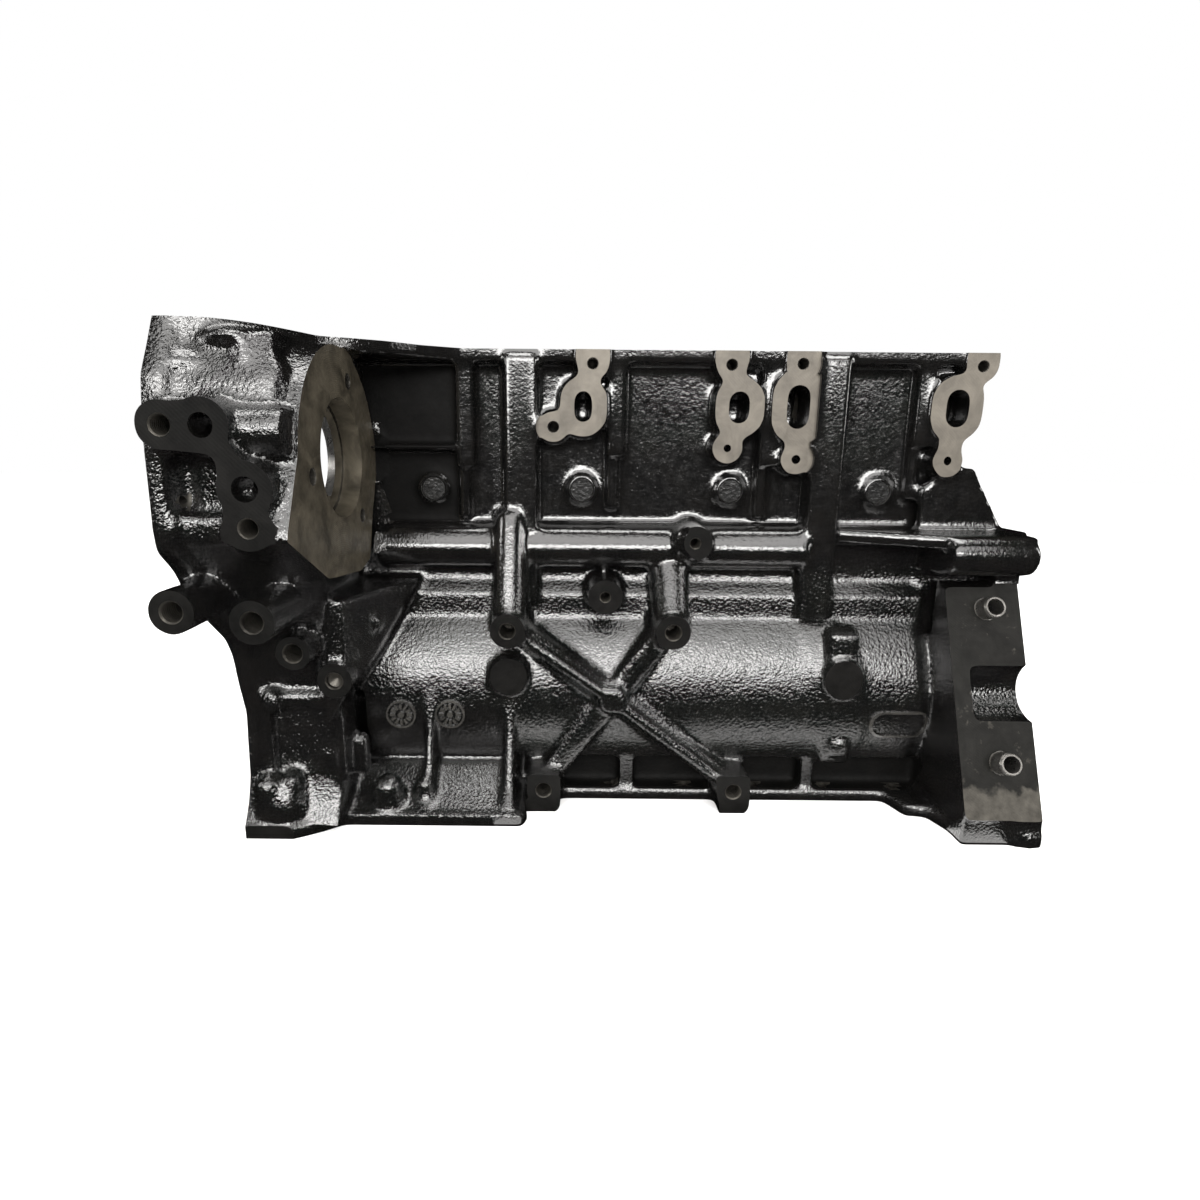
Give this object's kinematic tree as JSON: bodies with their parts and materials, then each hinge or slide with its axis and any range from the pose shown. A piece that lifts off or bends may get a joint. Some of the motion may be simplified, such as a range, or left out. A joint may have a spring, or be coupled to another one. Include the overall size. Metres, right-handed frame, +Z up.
{
  "type": "engine block",
  "caption": "Cast iron inline engine block with a gear case at one end, a side pump flange, ribs and mounting bosses, main bearing caps, core plugs and ring dowels.",
  "frame": {"origin": "on the crankshaft axis at the middle main bearing", "axes": "+X along the crankshaft to the flywheel end, -Y the side with the pump flange and bosses, +Z up to the deck"},
  "size_m": [0.521, 0.356, 0.317],
  "materials": {
    "painted_casting": "gloss black paint over rough casting",
    "cap_iron": "cast and machined",
    "bolt_steel": "black oxide",
    "painted_plug": "satin",
    "dowel_steel": "ground"
  },
  "bodies": {
    "root": {"cylinder_block": "painted_casting", "main_cap_1": "cap_iron", "main_cap_2": "cap_iron", "main_cap_3": "cap_iron", "main_cap_4": "cap_iron", "main_cap_5": "cap_iron", "main_cap_bolts": "bolt_steel", "core_plug_near_1": "painted_plug", "core_plug_near_2": "painted_plug", "core_plug_near_3": "painted_plug", "core_plug_near_4": "painted_plug", "core_plug_far_1": "painted_plug", "core_plug_far_2": "painted_plug", "core_plug_far_3": "painted_plug", "core_plug_far_4": "painted_plug", "ring_dowel_upper": "dowel_steel", "ring_dowel_lower": "dowel_steel", "gallery_plug": "bolt_steel"}
  },
  "joints": []
}
